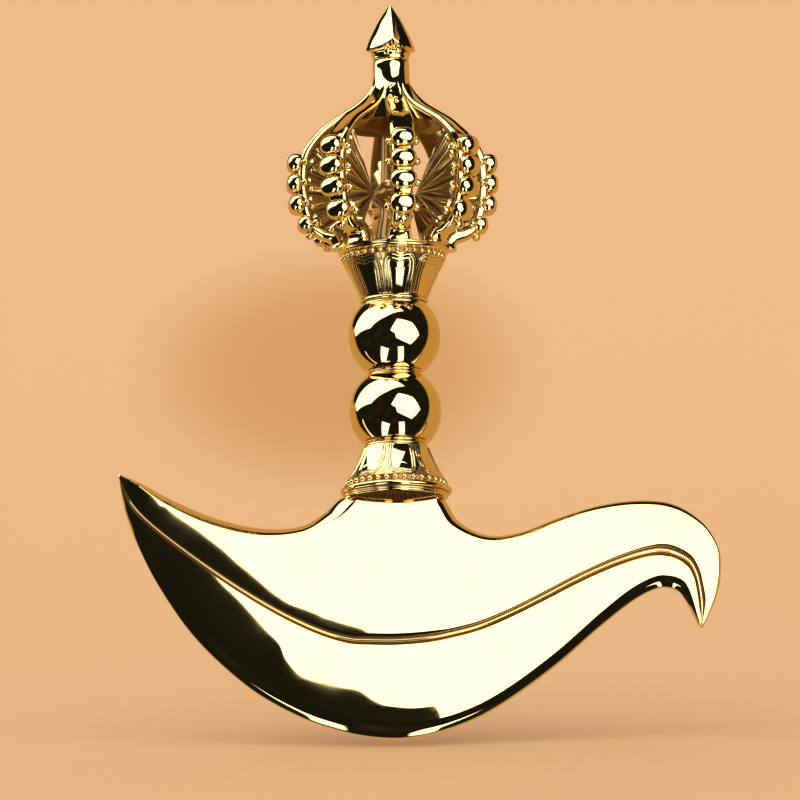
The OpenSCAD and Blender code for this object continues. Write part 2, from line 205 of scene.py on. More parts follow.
def round_lump(centre, radii, rows, cols, power=1.0):
    """Rounded lump: x = a c(u) c(v), y = b c(u) s(v), z = h s(u), where each sine and cosine
    is raised to the power with its sign kept, so a power under 1 fills out the corners."""
    u = np.linspace(-math.pi / 2, math.pi / 2, rows + 2)[1:-1, None]
    v = np.arange(cols)[None, :] * (2 * math.pi / cols)
    level = raised(np.cos(u), power)
    x = radii[0] * level * raised(np.cos(v), power)
    y = radii[1] * level * raised(np.sin(v), power)
    z = radii[2] * raised(np.sin(u), power) + 0 * v
    return np.stack([x, y, z], -1) + np.asarray(centre, float)


def rotated(points, angle):
    """Points turned about the Z axis by an angle."""
    c = math.cos(angle)
    s = math.sin(angle)
    x = points[..., 0] * c - points[..., 1] * s
    y = points[..., 0] * s + points[..., 1] * c
    return np.stack([x, y, points[..., 2]], -1)


class Shell:
    """Gathers the surfaces of one piece: points, faces and painted shade for each point, 1 in the
    darkest hollows.
    """

    def __init__(self):
        self.points = []
        self.shade_tones = []
        self.loops = []
        self.sizes = []
        self.count = 0

    def add(self, points, faces, shade_tone):
        """Adds points of shape (n, 3), painted shade for each and faces of shape (m, corners)."""
        self.points.append(points)
        self.shade_tones.append(shade_tone)
        self.loops.append((faces + self.count).ravel())
        self.sizes.append(np.full(len(faces), faces.shape[1]))
        self.count += len(points)

    def grid(self, points, shade_tone=0.0, caps=True):
        """Adds a grid of shape (rows, cols, 3) whose columns go round. With caps its first and
        last rings are closed by a fan each."""
        rows, cols = points.shape[:2]
        r = np.arange(rows - 1)[:, None]
        c = np.arange(cols)[None, :]
        up = (r + 1) * cols
        right = (c + 1) % cols
        quads = np.stack(np.broadcast_arrays(r * cols + c, r * cols + right, up + right, up + c), -1)
        flat = points.reshape(-1, 3)
        shade_tone = np.broadcast_to(np.asarray(shade_tone, float), (rows, cols)).ravel()
        base = self.count
        self.add(flat, quads.reshape(-1, 4), shade_tone)
        if not caps:
            return
        for row, flip in ((0, True), (rows - 1, False)):
            ring = base + row * cols + np.arange(cols)
            middle = points[row].mean(0)[None, :]
            turn = np.stack([ring, np.roll(ring, -1), np.full(cols, self.count)], -1)
            if flip:
                turn = turn[:, [1, 0, 2]]
            self.points.append(middle)
            self.shade_tones.append(np.full(1, shade_tone[row * cols]))
            self.loops.append(turn.ravel())
            self.sizes.append(np.full(cols, 3))
            self.count += 1

    def arrays(self):
        """Points, painted shade, loop corners and face sizes as whole arrays."""
        return (np.concatenate(self.points), np.concatenate(self.shade_tones),
                np.concatenate(self.loops), np.concatenate(self.sizes))


def put(name, shell, nodes, slot, crease=CREASE):
    """Makes a shell a Blender object in metres that replaces its CAD nodes, in the metal of
    its material slot."""
    points, shade_tones, loops, sizes = shell.arrays()
    mesh = bpy.data.meshes.new(name)
    mesh.vertices.add(len(points))
    mesh.vertices.foreach_set("co", (points * MM).astype(np.float32).ravel())
    mesh.loops.add(len(loops))
    mesh.loops.foreach_set("vertex_index", loops.astype(np.int32))
    mesh.polygons.add(len(sizes))
    starts = np.concatenate([[0], np.cumsum(sizes)[:-1]])
    mesh.polygons.foreach_set("loop_start", starts.astype(np.int32))
    # The painted shade of the hollows goes to the mesh as a point attribute.
    mesh.attributes.new("recess_shade", "FLOAT", "POINT").data.foreach_set(
        "value", shade_tones.astype(np.float32))
    mesh.update(calc_edges=True)
    work = bmesh.new()
    work.from_mesh(mesh)
    bmesh.ops.remove_doubles(work, verts=work.verts, dist=1e-7)
    bmesh.ops.recalc_face_normals(work, faces=work.faces)
    work.to_mesh(mesh)
    work.free()
    mesh.polygons.foreach_set("use_smooth", np.ones(len(mesh.polygons), bool))
    mesh.set_sharp_from_angle(angle=crease)
    mesh.materials.append(metal(slot))
    piece = bpy.data.objects.new(name, mesh)
    bpy.context.scene.collection.objects.link(piece)
    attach(piece, "root")
    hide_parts(*nodes)


def joined(*parts):
    """Profile of a turned piece and its painted shade, from parts that each have points (r, z) and
    one shade value."""
    profile = np.concatenate([points for points, _ in parts])
    shade_tone = np.concatenate([np.full((len(points), 1), float(shade_tone)) for points, shade_tone in parts])
    return profile, shade_tone


def put_turned(name, profile, node, slot, shade_tone=0.0, count=144):
    """Makes a profile (r, z) a turned piece that replaces one CAD node."""
    shell = Shell()
    shell.grid(turned(profile, count), shade_tone)
    put(name, shell, [node], slot)


# Shader graphs


class Value:
    """A number socket in an expression: each operator adds its Math node."""

    def __init__(self, graph, socket):
        self.graph = graph
        self.socket = socket

    def math(self, operation, *others):
        """The result of one Math node on this value and the others."""
        sockets = dict(enumerate((self,) + others))
        node = self.graph.node("ShaderNodeMath", {"operation": operation}, sockets)
        return Value(self.graph, node.outputs[0])

    def __add__(self, other):
        return self.math("ADD", other)

    def __sub__(self, other):
        return self.math("SUBTRACT", other)

    def __rsub__(self, other):
        return self.graph.number(other).math("SUBTRACT", self)

    def __mul__(self, other):
        return self.math("MULTIPLY", other)

    __radd__ = __add__
    __rmul__ = __mul__

    def step(self, low, high):
        """Smooth step from 0 at low to 1 at high."""
        node = self.graph.node("ShaderNodeMapRange", {"interpolation_type": "SMOOTHSTEP"},
                               {"Value": self, "From Min": low, "From Max": high})
        return Value(self.graph, node.outputs["Result"])


class Graph:
    """A node tree that is filled through one method."""

    def __init__(self, tree):
        self.tree = tree
        tree.nodes.clear()

    def node(self, kind, settings=None, sockets=None):
        """Adds a node: its settings first, then the values or links of its sockets."""
        made = self.tree.nodes.new(kind)
        for key, value in (settings or {}).items():
            setattr(made, key, value)
        for key, value in (sockets or {}).items():
            socket = made.inputs[key]
            if isinstance(value, Value):
                value = value.socket
            if isinstance(value, bpy.types.NodeSocket):
                self.tree.links.new(value, socket)
            elif isinstance(value, (tuple, list)) and socket.type == "RGBA":
                socket.default_value = (*value, 1.0)
            else:
                socket.default_value = value
        return made

    def number(self, value):
        """A plain number as a value."""
        made = self.tree.nodes.new("ShaderNodeValue")
        made.outputs[0].default_value = value
        return Value(self, made.outputs[0])

    def blend(self, factor, first, second):
        """Colour socket that goes from first to second as factor goes from 0 to 1."""
        made = self.node("ShaderNodeMix", {"data_type": "RGBA"},
                         {"Factor": factor, 6: first, 7: second})
        return made.outputs[2]

    def dot(self, vector, direction):
        """Dot product of a vector socket with a fixed direction."""
        made = self.node("ShaderNodeVectorMath", {"operation": "DOT_PRODUCT"},
                         {0: vector, 1: direction})
        return Value(self, made.outputs["Value"])

    def noise(self, vector, scale, detail):
        """Noise value of a vector socket."""
        made = self.node("ShaderNodeTexNoise", {}, {"Vector": vector, "Scale": scale,
                                                    "Detail": detail})
        return Value(self, made.outputs["Fac"])

    def stretched(self, vector, scale):
        """Vector socket scaled along each axis, for a pattern drawn out one way."""
        return self.node("ShaderNodeMapping", {}, {"Vector": vector, "Scale": scale}).outputs[0]


def polished_brass(name, wear, ripple, lines):
    """Mirror-polished brass, darker in its recesses by painted shade and duller there. Wear sets the
    dull patches, ripple the soft unevenness of a cast face and lines the fine polishing marks."""
    finish = bpy.context.scene.chopper_finish
    material = bpy.data.materials.new(name)
    material.use_nodes = True
    graph = Graph(material.node_tree)
    place = graph.node("ShaderNodeTexCoord").outputs["Object"]
    recess_shade = graph.node("ShaderNodeAttribute", {"attribute_name": "recess_shade"}).outputs["Fac"]
    recess_shade = Value(graph, recess_shade)
    cloud = graph.noise(place, 90.0, 3.0)
    patch = cloud.step(0.45, 0.75)
    base = tuple(finish.brass)
    warm = tuple(c * k for c, k in zip(base, (0.97, 0.93, 0.84)))
    metal = graph.blend(patch * wear, base, warm)
    # Painted shade: darker brown brass blended in by the shade attribute, with less metal so that it
    # reads as shaded.
    metal = graph.blend(recess_shade, metal, tuple(finish.recess_shade))
    marks = graph.noise(graph.stretched(place, (60.0, 60.0, 1400.0)), 1.0, 2.0)
    swell = graph.noise(place, 55.0, 1.0)
    height = swell * ripple + marks * lines
    bump = graph.node("ShaderNodeBump", {}, {"Height": height, "Strength": 1.0,
                                             "Distance": 0.001})
    rough = 0.015 + 0.02 * patch * wear + 0.17 * recess_shade
    shader = graph.node("ShaderNodeBsdfPrincipled", {}, {
        "Base Color": metal, "Roughness": rough, "Metallic": 1 - 0.4 * recess_shade,
        "Normal": bump.outputs["Normal"]})
    graph.node("ShaderNodeOutputMaterial", {}, {"Surface": shader.outputs[0]})
    return material


def plain_steel():
    """Drawn steel of the tie rod, with fine lines round it."""
    material = bpy.data.materials.new("drawn_steel")
    material.use_nodes = True
    graph = Graph(material.node_tree)
    place = graph.node("ShaderNodeTexCoord").outputs["Object"]
    marks = graph.noise(graph.stretched(place, (40.0, 40.0, 2600.0)), 1.0, 3.0)
    bump = graph.node("ShaderNodeBump", {}, {"Height": marks, "Strength": 0.15,
                                             "Distance": 0.0001})
    shader = graph.node("ShaderNodeBsdfPrincipled", {}, {
        "Base Color": tuple(bpy.context.scene.chopper_finish.steel),
        "Roughness": 0.3 + 0.1 * marks, "Metallic": 1.0, "Normal": bump.outputs["Normal"]})
    graph.node("ShaderNodeOutputMaterial", {}, {"Surface": shader.outputs[0]})
    return material


def metal(name):
    """The finish of a material slot, made the first time that it is asked for."""
    made = bpy.data.materials.get("polished_" + name)
    if made:
        return made
    wear, ripple, lines = {"blade_brass": (0.5, 0.018, 0.0001),
                           "handle_brass": (0.6, 0.004, 0.0001),
                           "crown_brass": (0.8, 0.02, 0.0001)}[name]
    return polished_brass("polished_" + name, wear, ripple, lines)


# Blade

# Ribs from the pointed end to the hook. Each gives, in X and Z, the spine, the edge of
# the cheek, the groove and the cutting edge, and then the share of the full thickness.
RIBS = [
    [-63.9, 6.2, -63.8, 5.9, -63.8, 5.6, -63.7, 5.1, 0.50],
    [-59.0, 4.2, -59.5, 3.1, -61.3, -0.6, -62.5, -2.1, 0.98],
    [-52.0, 0.2, -53.1, -1.5, -57.0, -5.6, -59.9, -9.6, 1],
    [-42.0, -4.3, -43.0, -6.4, -49.0, -12.2, -54.7, -20.3, 1],
    [-31.5, -6.9, -31.8, -9.2, -38.5, -19.8, -46.2, -32.7, 1],
    [-22.3, -6.6, -21.4, -8.6, -27.8, -26.5, -34.3, -44.0, 1],
    [-16.5, -3.5, -13.4, -5.2, -18.5, -31.1, -22.9, -50.8, 1],
    [-12.6, 0.0, -9.4, -1.6, -11.5, -33.3, -13.7, -54.2, 1],
    [-8.3, 1.5, -8.2, 0.6, -6.0, -33.7, -7.0, -55.7, 1],
    [0.0, 2.0, 0.0, 2.0, 0.0, -33.8, 0.0, -56.2, 1],
    [8.3, 1.5, 8.2, 0.6, 7.0, -33.3, 7.0, -55.3, 1],
    [11.2, -1.0, 9.4, -2.6, 13.0, -32.2, 13.9, -53.3, 1],
    [14.5, -6.1, 12.6, -7.4, 19.0, -30.6, 20.5, -50.4, 1],
    [21.0, -9.2, 20.4, -11.0, 26.0, -27.7, 28.0, -45.7, 1],
    [28.3, -8.6, 28.6, -10.4, 33.5, -24.0, 37.1, -38.9, 1],
    [37.5, -5.2, 37.8, -7.0, 41.5, -19.9, 46.4, -30.8, 1],
    [46.8, -2.5, 47.0, -4.3, 49.5, -16.4, 54.0, -24.9, 1],
    [56.0, -1.5, 56.0, -3.3, 57.0, -14.0, 59.4, -22.1, 1],
    [64.0, -2.6, 63.5, -4.4, 62.0, -13.7, 62.6, -22.0, 1],
    [70.5, -7.1, 69.3, -8.6, 66.5, -15.8, 64.5, -22.9, 1],
    [73.8, -12.7, 72.2, -13.5, 68.4, -18.8, 65.7, -24.4, 0.98],
    [74.3, -18.0, 72.7, -18.2, 69.2, -22.2, 66.8, -26.4, 0.96],
    [73.4, -23.5, 72.2, -23.4, 69.6, -25.4, 67.8, -28.5, 0.94],
    [71.6, -28.0, 70.9, -27.8, 69.7, -28.4, 68.6, -30.2, 0.92],
    [70.0, -31.0, 69.8, -30.9, 69.6, -30.9, 69.3, -31.2, 0.84],
]
# Steps of the smooth curve between two ribs.
RIB_STEPS = 14
# Within this X the skin is cut level at the shoulder.
SHOULDER_REACH = 20.0
# How far the lower face leans up, in degrees, by the groove's X.
FACE_LIFT = [(-66, 0.2), (-50, 0.25), (-44, 0.36), (-40, 0.47), (-33, 0.58), (-27, 0.7),
             (-23.5, 0.97), (-20, 1.07), (-15, 1.06), (-8, 0.99), (0, 0.91), (12, 0.8), (30, 0.6),
             (75, 0.4)]
# Tilt of the lower face by the share of its width: first what a lean of one degree adds, then
# how it falls off before the bevel.
FACE_RISE = [(0, -1), (0.8, -1), (0.86, 0), (1, 0)]
FACE_FALL = [(0, 0), (0.86, 0), (1, 4)]
# Tilt of the rounded bevel in degrees by the share of its width.
BEVEL_TILT = [(0, 4), (0.05, 14), (0.12, 22), (0.58, 23), (0.68, 44), (0.75, 49), (0.95, 50),
              (1, 62)]
# Section of the groove: place across it, share of its depth, with a low bead in the middle, painted
# shade in its channels, and share of the lower face's set-back.
GROOVE = [(-1, 0, 0, 0), (-0.75, 0.16, 0, 0), (-0.64, 0.55, 0.4, 0), (-0.55, 0.95, 1, 0),
          (-0.45, 1, 1, 0), (-0.35, 0.8, 0.6, 0), (-0.22, 0.5, 0.2, 0), (-0.1, 0.42, 0, 0),
          (0, 0.4, 0, 0), (0.1, 0.42, 0, 0), (0.22, 0.5, 0.2, 0.12), (0.35, 0.8, 0.6, 0.4),
          (0.45, 1, 1, 0.65), (0.55, 0.98, 1, 0.85), (0.66, 0.66, 0.6, 0.96), (0.8, 0.26, 0.1, 1),
          (0.9, 0.12, 0, 1), (1, 0, 0, 1)]
# Share of the groove's full width, by X.
GROOVE_SPREAD = [(-60, 0.55), (-45, 0.65), (-25, 0.85), (-5, 1), (30, 0.9), (45, 0.95), (56, 1.1),
                 (62, 1.3), (67, 1.2), (75, 0.9)]
# Share of the spine's width in the rib table by the rib's number: the hook's spine is narrow.
SPINE_SPREAD = [(15, 1), (17, 1), (18, 0.85), (19, 0.52), (20, 0.34), (24, 0.4)]


def spine_round(first, last, bevel):
    """Shares (in plane, in depth) from the spine to the cheek: the face turns evenly in eight
    steps from the first tilt off the cheek to the last, both in degrees. Four steps from 47 to
    32 degrees, each bevel times as wide, and two short ones bring it round to the cheek."""
    tilt = np.radians(np.concatenate([np.linspace(first, last, 8), [47, 42, 37, 32, 20, 7]]))
    step = np.repeat([1.0, bevel, 0.2], [8, 4, 2])
    across = np.concatenate([[0], np.cumsum(step * np.cos(tilt))])
    deep = np.concatenate([[0], np.cumsum(step * np.sin(tilt))])
    return across / across[-1], deep / deep[-1]


def spine_wall():
    """The same shares for the hook's back, which is nearly upright with a narrow bevel."""
    across = np.concatenate([np.linspace(0, 0.55, 9), np.linspace(0.64, 0.95, 4), [0.98, 1]])
    deep = np.concatenate([np.linspace(0, 0.92, 9), np.linspace(0.945, 0.99, 4), [0.998, 1]])
    return across, deep


def slope_path(table, count):
    """Places along a face whose tilt is given, and its fall there: the running sum of
    tan(tilt), as a share of the face's width."""
    t = np.linspace(0, 1, count)
    slope = np.tan(np.radians(np.interp(t, *zip(*table))))
    return t, np.concatenate([[0], np.cumsum((slope[1:] + slope[:-1]) / 2) / (count - 1)])


def blade_surface(sizes):
    """Closed skin of the blade: at each station a section is carried between the spine, the
    cheek's edge, the groove and the cutting edge, and mirrored to the far side. A station's
    number is its rib's, and the spine's section goes smoothly from one shape to the next."""
    rows = smooth_rows(RIBS, RIB_STEPS)
    station = np.arange(len(rows)) / RIB_STEPS
    half = sizes.thickness / MM / 2 * np.interp(station, np.arange(len(RIBS)),
                                                [r[8] for r in RIBS])
    spine, cheek, groove, edge = (rows[:, 2 * k:2 * k + 2] for k in range(4))
    spread = np.interp(station, *zip(*SPINE_SPREAD))[:, None]
    cheek = mix(spine, cheek, spread)
    up = np.linalg.norm(cheek - groove, axis=1)
    down = np.linalg.norm(edge - groove, axis=1)
    band = sizes.groove_width / MM / 2 * np.interp(groove[:, 0], *zip(*GROOVE_SPREAD))
    band = np.minimum(band, np.minimum(0.34 * up, 0.34 * down))
    side = []
    hooked = step_up(station, 17.6, 19.6)
    left = 1 - step_up(station, 4.5, 6.0)
    right = step_up(station, 12.5, 14.5) * (1 - hooked)
    weights = np.stack([1 - left - right - hooked, left, right, hooked])
    shapes = np.array([spine_round(80, 56, 0.8), spine_round(66, 56, 0.8),
                       spine_round(80, 70, 1.2), spine_wall()])
    across, deep = np.einsum("ps,pkn->kns", weights, shapes)
    for a, d in zip(across, deep):
        side.append((mix(spine, cheek, a[:, None]), half * d, 0.0))
    rim = mix(groove, cheek, (band / up)[:, None])
    for t in (0.02, 0.2, 0.45, 0.7, 0.9, 0.985):
        side.append((mix(cheek, rim, t), half, 0.0))
    depth = sizes.groove_depth / MM * band / (sizes.groove_width / MM / 2)
    back_off = sizes.set_back / sizes.thickness * 2 * half
    for s, share, shade_tone, lower in GROOVE:
        towards, span = (cheek, up) if s < 0 else (edge, down)
        place = mix(groove, towards, (abs(s) * band / span)[:, None])
        side.append((place, half - depth * share - back_off * lower, shade_tone))
    foot = mix(groove, edge, (band / down)[:, None])
    face = half - back_off
    below = down - band
    bevel = np.minimum(sizes.bevel_width / MM, 0.45 * below)
    lift = np.interp(groove[:, 0], *smooth_rows(FACE_LIFT, 8).T)
    share, rise = slope_path(FACE_RISE, 21)
    fall = slope_path(FACE_FALL, 21)[1]
    for t, r, f in zip(share[1:], rise[1:], fall[1:]):
        place = mix(foot, edge, ((below - bevel) * t / below)[:, None])
        side.append((place, face - (r * lift + f) * (below - bevel), 0.0))
    start = face - (rise[-1] * lift + fall[-1]) * (below - bevel)
    final = np.minimum(sizes.edge_thickness / MM / 2, 0.5 * start)
    share, fall = slope_path(BEVEL_TILT, 19)
    for t, f in zip(share[1:], fall[1:] / fall[-1]):
        place = mix(edge, foot, (bevel * (1 - t) / below)[:, None])
        side.append((place, mix(start, final, f), 0.0))
    front = np.stack([np.stack([p[:, 0], -y, p[:, 1]], -1) for p, y, _ in side], 1)
    back = front[:, ::-1] * np.array([1, -1, 1])
    points = np.concatenate([front, back[:, :-1]], 1)
    shade_tones = [shade_tone for _, _, shade_tone in side]
    shade_tones = np.array(shade_tones + shade_tones[::-1][:-1])
    over = np.abs(points[..., 0]) < SHOULDER_REACH
    points[..., 2] = np.where(over, np.minimum(points[..., 2], 0.0), points[..., 2])
    return points, np.broadcast_to(shade_tones, points.shape[:2])


class MakeBlade(bpy.types.Operator):
    """Make the crescent blade with its moulded groove and bevelled edge"""

    bl_idname = "chopper.blade"
    bl_label = "Blade"

    def execute(self, context):
        points, shade_tones = blade_surface(context.scene.chopper_blade)
        shell = Shell()
        shell.grid(points, shade_tones)
        put("crescent_blade", shell, ["blade"], "blade_brass", math.radians(24))
        return {"FINISHED"}


# Turned handle


class MakeFlange(bpy.types.Operator):
    """Make the flange between the blade and the lower collar"""

    bl_idname = "chopper.flange"
    bl_label = "Flange"

    def execute(self, context):
        low, high, reach = span("shoulder_flange")
        rim = arc((reach - 0.62, mix(low, high, 0.64)), 0.62, -78, 88, 14)
        # Underside, lower lip, bead, groove, rim and top; the underside and the groove get painted
        # shade.
        profile, shade_tone = joined(
            ([(0.5, low), (6.0, low), (11.0, low)], 0.6),
            (arc((11.45, low - 0.08), 0.38, -160, 40, 9), 0),
            (arc((11.95, low + 0.36), 0.22, -80, 60, 7), 0),
            ([(12.0, low + 0.66), (12.1, low + 0.76)], 1),
            (rim, 0),
            ([(11.9, high), (0.5, high)], 0))
        put_turned("flange", profile, "shoulder_flange", "handle_brass", shade_tone)
        return {"FINISHED"}


def bead_row(shell, node, count, size):
    """A turned band between two fine lips, with round beads side by side on it."""
    low, high, reach = span(node)
    band = reach - 0.58 * size
    profile = np.array([(0.5, low), (band + 0.25, low), (band + 0.3, low + 0.08),
                        (band + 0.05, low + 0.2), (band, low + 0.25), (band, high - 0.25),
                        (band + 0.05, high - 0.2), (band + 0.3, high - 0.08),
                        (band + 0.25, high), (0.5, high)])
    # Painted shade on the band between the beads and at the lips' inner sides.
    shade_tone = np.array([0, 0, 0, 0.8, 1, 1, 0.8, 0, 0, 0.0])[:, None]
    shell.grid(turned(profile), shade_tone)
    bead = round_lump((reach - size / 2, 0, (low + high) / 2), [size / 2] * 3, 9, 14)
    for k in range(count):
        shell.grid(rotated(bead, 2 * math.pi * (k + 0.5) / count))


class MakeBeadRows(bpy.types.Operator):
    """Make the two rows of beads"""

    bl_idname = "chopper.bead_rows"
    bl_label = "Bead rows"

    def execute(self, context):
        sizes = context.scene.chopper_handle
        for node, name, count in (("lower_bead_ring", "lower_beads", sizes.low_beads),
                                  ("upper_bead_ring", "upper_beads", sizes.high_beads)):
            shell = Shell()
            bead_row(shell, node, count, sizes.bead_size / MM)
            put(name, shell, [node], "handle_brass")
        return {"FINISHED"}


def lobe(d, start, end):
    """Round ridge between two distances: 0.5 - 0.5 cos of a full turn, 0 outside."""
    t = np.clip((d - start) / (end - start), 0, 1)
    return 0.5 - 0.5 * np.cos(2 * math.pi * t)


def petal_relief(x, z, height, gap, half_wide, dip, grain):
    """Relief of a lotus collar at x from a petal's middle line and z up from the waist. Inside
    the outline, whose top has two round lobes with a dip between them, come two fine ridges
    along the edge, spaced by the grain, and then a smooth field that falls off to its top.
    Outside it a leaf tip shows between two petals, with a ridge along its side."""
    a = np.clip(np.abs(x) / half_wide, 0, 1)
    top = height * (0.985 - 0.05 * a**4) - dip * np.exp(-((a / 0.38) ** 2))
    side = half_wide - np.abs(x)
    over = top - z
    corner = 1.7
    bend = corner - np.hypot(np.clip(corner - side, 0, None), np.clip(corner - over, 0, None))
    d = np.where((side < corner) & (over < corner), bend, np.minimum(side, over)) / grain
    above = np.clip(1 - (over - 1.6 * grain) / 1.6, 0, 1)
    field = 0.1 + 0.3 * (x / 2.0) ** 2 - 1.7 * above**2
    field = mix(-0.1, field, step_up(d, 1.4, 1.62))
    ridges = 0.45 / grain * np.maximum(lobe(d, 0.0, 0.55), lobe(d, 0.8, 1.35))
    between = -d * grain
    leaf = 0.4 * lobe(between, 0.08, 0.6) + 0.1 * step_up(between, 0.6, 0.9)
    leaf = np.maximum(leaf, 0.35 * lobe(gap - np.abs(x), -0.35, 0.35))
    relief = np.where(d > 0, np.maximum(ridges, field), leaf)
    # Painted shade in the grooves beside the ridges, along the petal's outline and between the leaf
    # tips.
    deep = np.where(d > 0, 0.5 * lobe(d, 0.48, 0.86) + 0.9 * lobe(d, 1.3, 1.56), 0)
    deep = deep + lobe(d, -0.16, 0.12) + 0.6 * step_up(between, 0.55, 0.8)
    return relief, np.clip(deep, 0, 1)


# The two collars: CAD node, name, radius at the waist and at the rim, the flare's power,
# whether the petals hang down, the dip in a petal's top, the most that a petal is wide to each
# side, and the spacing of its fine ridges.
COLLARS = [("lower_lotus", "hanging_lotus", 7.9, 11.6, 1.3, True, 0.3, 3.35, 0.7),
           ("upper_lotus", "standing_lotus", 7.9, 11.98, 1.12, False, 0.5, 3.75, 1.0)]


def lotus_collar(node, shape, sizes):
    """Collar whose radius grows from the waist to the rim as share^flare, with the petals'
    relief taken off it. Its shape is the rest of its row in COLLARS."""
    low_r, high_r, flare, hanging, dip, wide, grain = shape
    low, high, _ = span(node)
    height = high - low
    rows = 136
    cols = sizes.petals * 80
    t = np.linspace(0, 1, rows)[:, None]
    a = np.arange(cols)[None, :] * (2 * math.pi / cols)
    pitch = 2 * math.pi / sizes.petals
    off = (a - sizes.petal_turn + math.pi / 2 + pitch / 2) % pitch - pitch / 2
    base = mix(low_r, high_r, t**flare)
    x = off * base
    gap = base * pitch / 2
    half_wide = np.minimum(0.94 * gap, wide)
    relief, deep = petal_relief(x, t * height + 0 * x, height, gap, half_wide, dip, grain)
    foot = step_up(t * height, 0.05, 0.45)
    r = base - sizes.petal_relief / MM * (1 - relief * foot)
    z = low + (height * (1 - t) if hanging else height * t)
    points = np.stack([r * np.cos(a), r * np.sin(a), z + 0 * a], -1)
    return points, deep


class MakeLotusCollars(bpy.types.Operator):
    """Make the two lotus collars"""

    bl_idname = "chopper.lotus_collars"
    bl_label = "Lotus collars"

    def execute(self, context):
        for node, name, *shape in COLLARS:
            shell = Shell()
            shell.grid(*lotus_collar(node, shape, context.scene.chopper_handle))
            put(name, shell, [node], "handle_brass")
        return {"FINISHED"}


# How far the upper half of a double ring stands in from the lower one in millimetres, and
# negative where the lower half stands in.
RING_STEPS = {"lower_ring": 0.2, "middle_ring": 0.0, "upper_ring": -0.35}


class MakeRings(bpy.types.Operator):
    """Make the three double rings of the grip"""

    bl_idname = "chopper.rings"
    bl_label = "Double rings"

    def execute(self, context):
        for node, inner in RING_STEPS.items():
            low, high, reach = span(node)
            r = (high - low) / 4
            profile = np.concatenate([
                [(0.5, low)],
                arc((reach - r - max(-inner, 0), low + r), r, -85, 80, 12),
                [(reach - 1.9 * r - abs(inner), (low + high) / 2)],
                arc((reach - r - max(inner, 0), high - r), r, -80, 85, 12),
                [(0.5, high)]])
            # The waist between the two halves and the points beside it get painted shade.
            shade_tone = np.zeros((len(profile), 1))
            shade_tone[12:15] = 1.0
            put_turned("double_" + node, profile, node, "handle_brass", shade_tone)
        return {"FINISHED"}


# Radius of the seat that each ball stands on in millimetres.
BALL_SEATS = {"lower_ball": 8.0, "upper_ball": 6.9}


class MakeBalls(bpy.types.Operator):
    """Make the two balls of the grip"""

    bl_idname = "chopper.balls"
    bl_label = "Grip balls"

    def execute(self, context):
        for node, seat in BALL_SEATS.items():
            low, high, reach = span(node)
            mid = low + math.sqrt(reach**2 - seat**2)
            start = math.degrees(math.asin((low - mid) / reach))
            end = math.degrees(math.asin((high - mid) / reach))
            profile = np.concatenate([[(0.5, low)], arc((0, mid), reach, start, end, 96),
                                      [(0.5, high)]])
            put_turned("grip_" + node, profile, node, "handle_brass", count=192)
        return {"FINISHED"}


# Crown


class MakeCrownPlate(bpy.types.Operator):
    """Make the round plate that carries the prongs"""

    bl_idname = "chopper.crown_plate"
    bl_label = "Crown plate"

    def execute(self, context):
        low, high, reach = span("crown_plate")
        # Underside, lower round, groove, upper round and top; the groove gets painted shade.
        profile, shade_tone = joined(
            ([(0.5, low), (reach - 0.75, low), (reach - 0.6, low + 0.08)], 0),
            (arc((reach - 0.7, low + 0.62), 0.55, -80, 40, 9), 0),
            ([(reach - 0.33, high - 0.42)], 1),
            (arc((reach - 0.36, high - 0.26), 0.26, -60, 92, 10), 0),
            ([(reach - 1.0, high - 0.03), (0.5, high - 0.03)], 0))
        put_turned("crown_floor", profile, "crown_plate", "crown_brass", shade_tone)
        return {"FINISHED"}


# Middle line of a prong from the root to the neck: distance out and height, then half the
# thickness and half the width, and how deep the field on the arm's back is sunk.
PRONG_PATH = [
    [12.2, 57.8, 2.50, 3.05, 0],
    [12.3, 59.2, 2.40, 2.80, 0],
    [13.9, 60.8, 1.80, 2.45, 0],
    [16.6, 61.4, 1.30, 2.30, 0],
    [18.6, 62.8, 1.30, 2.25, 0],
    [20.0, 66.0, 1.35, 2.35, 0],
    [20.7, 70.4, 1.40, 2.45, 0],
    [20.8, 75.0, 1.40, 2.55, 0],
    [20.1, 79.2, 1.40, 2.80, 0.15],
    [18.1, 82.6, 1.30, 2.90, 0.45],
    [15.2, 85.8, 1.25, 2.70, 0.50],
    [11.2, 88.7, 1.20, 2.60, 0.50],
    [7.6, 91.2, 1.20, 2.45, 0.45],
    [5.2, 93.7, 1.10, 2.05, 0.28],
    [4.0, 96.0, 0.80, 1.60, 0.1],
    [3.3, 98.4, 0.50, 1.20, 0],
]
# Power of a prong's section, where 1 is round and less is squarer.
PRONG_POWER = 0.72
# Pillows down the back of a prong: distance out, height, share of the longest one, and half
# the height.
PILLOWS = [
    [22.25, 77.75, 0.91, 2.30],
    [22.40, 72.95, 0.96, 2.35],
    [22.00, 68.10, 1.00, 2.30],
    [19.95, 63.50, 0.97, 1.95],
]
# Half the depth of a pillow, and the radius of the beads beside it and of those down an arm.
PILLOW_HALF_DEPTH = 2.2
SIDE_BEAD = 0.85
ARM_BEAD = 0.6
# Small knob over the root of a prong: its middle and its radii.
ROOT_KNOB = ((19.3, 0, 60.9), (1.0, 1.3, 0.9))
# Inner tip of a fan, its reach from there by the angle over level, and the angles between its
# ribs, one of which runs up to each pillow.
FAN_TIP = (7.0, 69.5)
FAN_REACH = [(-54, 10.8), (-40, 12.6), (-30, 13.4), (-15, 13.6), (4, 13.8), (22, 14.9),
             (37, 16.2), (50, 17.2), (60, 17.9)]
FAN_RIBS = [-54, -37, -17, 4, 23, 41, 52, 60]
